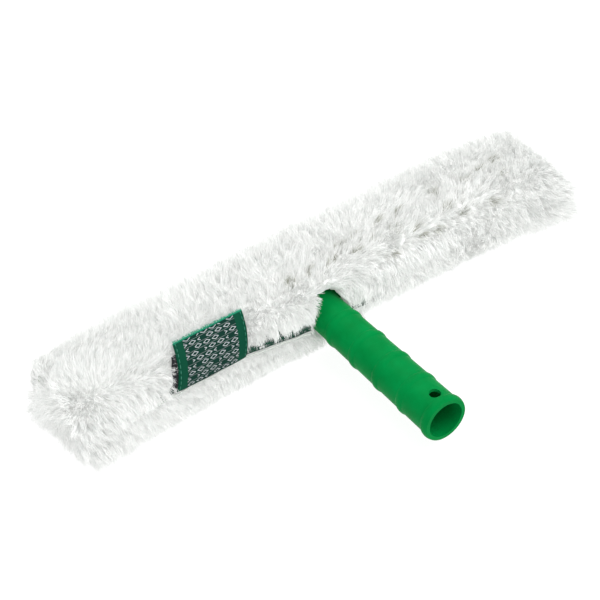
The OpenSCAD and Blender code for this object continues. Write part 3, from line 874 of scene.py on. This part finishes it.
def sleeve_cloth():
    """The woven cloth that the pile is set in: a tube with closed ends, open where the flap closes it."""
    pitch = 2.5
    span = SKIN_HI[0] - SKIN_LO[0]
    nx, nu = round(span / pitch) + 1, round(ROUND / pitch)
    X, Uu = np.meshgrid(np.linspace(SKIN_LO[0], SKIN_HI[0], nx), np.arange(nu) / nu * ROUND, indexing="ij")
    skin, _, n = section(Uu.ravel())
    p = np.column_stack([X.ravel(), skin - n * 0.45])
    p += wander(p, 12.0, 41) * 0.15
    r, c = np.meshgrid(np.arange(nx - 1), np.arange(nu), indexing="ij")
    r, c = r.ravel(), c.ravel()
    q = np.stack([r * nu + c, r * nu + (c + 1) % nu, (r + 1) * nu + (c + 1) % nu, (r + 1) * nu + c], 1)
    mid = p[q].mean(1)
    front = (mid[:, 1] < FRONT_CLOTH_Y + 1.6) & (mid[:, 2] > SKIN_LO[2] + 1.5)
    cut = front & (mid[:, 0] > SLIT_X0) & (mid[:, 0] < SLIT_X1) & (mid[:, 2] < LIP_Z + 0.8)
    cut |= front & (np.abs(mid[:, 0]) < GRIP + 6) & (np.abs(mid[:, 2]) < GRIP)
    faces = [tuple(f) for f in q[~cut]]
    points = [p]
    for k in (0, nx - 1):                          # ends, as rings that shrink to the middle
        ring = np.arange(nu) + k * nu
        middle = p[ring].mean(0)
        for g in (0.66, 0.33, 0.02):
            new = middle + (p[np.arange(nu) + k * nu] - middle) * g
            start = sum(len(x) for x in points)
            points.append(new)
            inner = np.arange(nu) + start
            faces += [(ring[i], ring[(i + 1) % nu], inner[(i + 1) % nu], inner[i]) for i in range(nu)]
            ring = inner
        faces.append(tuple(ring))
    o = mesh_piece("sleeve_cloth", np.concatenate(points), faces, [CLOTH], "sleeve")
    solid = o.modifiers.new("thick", "SOLIDIFY")
    solid.thickness, solid.offset = 0.0007, 0
    return o


def flap_cloth():
    """The flap's own cloth, cut round the handle's root."""
    lo, hi = cad_range("flap_backing")
    xs, zs_ = np.linspace(lo[0], hi[0], 88), np.linspace(lo[2] - 10, hi[2], 17)
    X, Z = np.meshgrid(xs, zs_, indexing="ij")
    p = np.column_stack([X.ravel(), np.full(X.size, lo[1] + 0.5), Z.ravel()])
    p += wander(p, 11.0, 42) * np.array([0, 0.2, 0])
    faces = [f for f in grid_faces(88, 17)
             if not (abs(p[f[0]][0]) < GRIP + 6 and abs(p[f[0]][2]) < GRIP + 0.5)]
    o = mesh_piece("flap_cloth", p, faces, [CLOTH], "flap")
    solid = o.modifiers.new("thick", "SOLIDIFY")
    solid.thickness, solid.offset = 0.0007, 0
    return o, (hi[0] - lo[0], hi[2] - lo[2] + 10)


cloth = sleeve_cloth()
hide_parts("sleeve_backing")
cloth, size_mm = flap_cloth()
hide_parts("flap_backing")

# ---- stage, lights and camera ----

scene = bpy.context.scene
scene.view_settings.view_transform = "Standard"
world = bpy.data.worlds.new("studio")
scene.world = world
world.use_nodes = True
world.node_tree.nodes["Background"].inputs["Color"].default_value = (1, 1, 1, 1)
world.node_tree.nodes["Background"].inputs["Strength"].default_value = 0.86

m, nt, b = material("floor_white", 0.9, 0.1)
b.inputs["Base Color"].default_value = (0.2, 0.2, 0.2, 1)
b.inputs["Emission Color"].default_value = (1, 1, 1, 1)
b.inputs["Emission Strength"].default_value = 0.88
me = bpy.data.meshes.new("floor")
F = 6.0
me.from_pydata([(-F, -F, 0), (F, -F, 0), (F, F, 0), (-F, F, 0)], [], [(0, 1, 2, 3)])
me.materials.append(m)
floor = bpy.data.objects.new("floor", me)
scene.collection.objects.link(floor)
floor.location = (0, 0, FLOOR * MM - 0.0005)


def softbox(name, place, aim, width, height, power):
    d = bpy.data.lights.new(name, "AREA")
    d.shape, d.size, d.size_y, d.energy = "RECTANGLE", width, height, power
    o = bpy.data.objects.new(name, d)
    scene.collection.objects.link(o)
    o.location = place
    o.rotation_euler = (Vector(aim) - Vector(place)).to_track_quat("-Z", "Y").to_euler()
    return o


aim = (0, 0.12, 0)
softbox("key", (0.35, -0.7, 1.6), aim, 1.2, 1.2, 13)
softbox("fill", (1.2, -0.9, 0.9), aim, 1.2, 1.0, 3)
softbox("top", (0.1, 0.9, 1.4), aim, 1.4, 0.8, 8)

camera = bpy.data.cameras.new("camera")
cam = bpy.data.objects.new("camera", camera)
scene.collection.objects.link(cam)
scene.camera = cam
AZ, EL, ROLL, DIST = math.radians(-34.34), math.radians(41.67), math.radians(-2.34), 1.1796
look = Vector((0.00227, 0.134, 0.0))
back = Vector((math.sin(AZ) * math.cos(EL), -math.cos(AZ) * math.cos(EL), math.sin(EL)))
right = Vector((math.cos(AZ), math.sin(AZ), 0))
up = back.cross(right)
right, up = (math.cos(ROLL) * right + math.sin(ROLL) * up, -math.sin(ROLL) * right + math.cos(ROLL) * up)
turn = cam.matrix_world.to_3x3()
for i in range(3):
    turn[i][0], turn[i][1], turn[i][2] = right[i], up[i], back[i]
cam.matrix_world = turn.to_4x4()
cam.location = look + back * DIST
camera.lens, camera.sensor_width = 119.74, 36
camera.shift_x, camera.shift_y = -0.0105, -0.0163
camera.clip_start, camera.clip_end = 0.05, 20
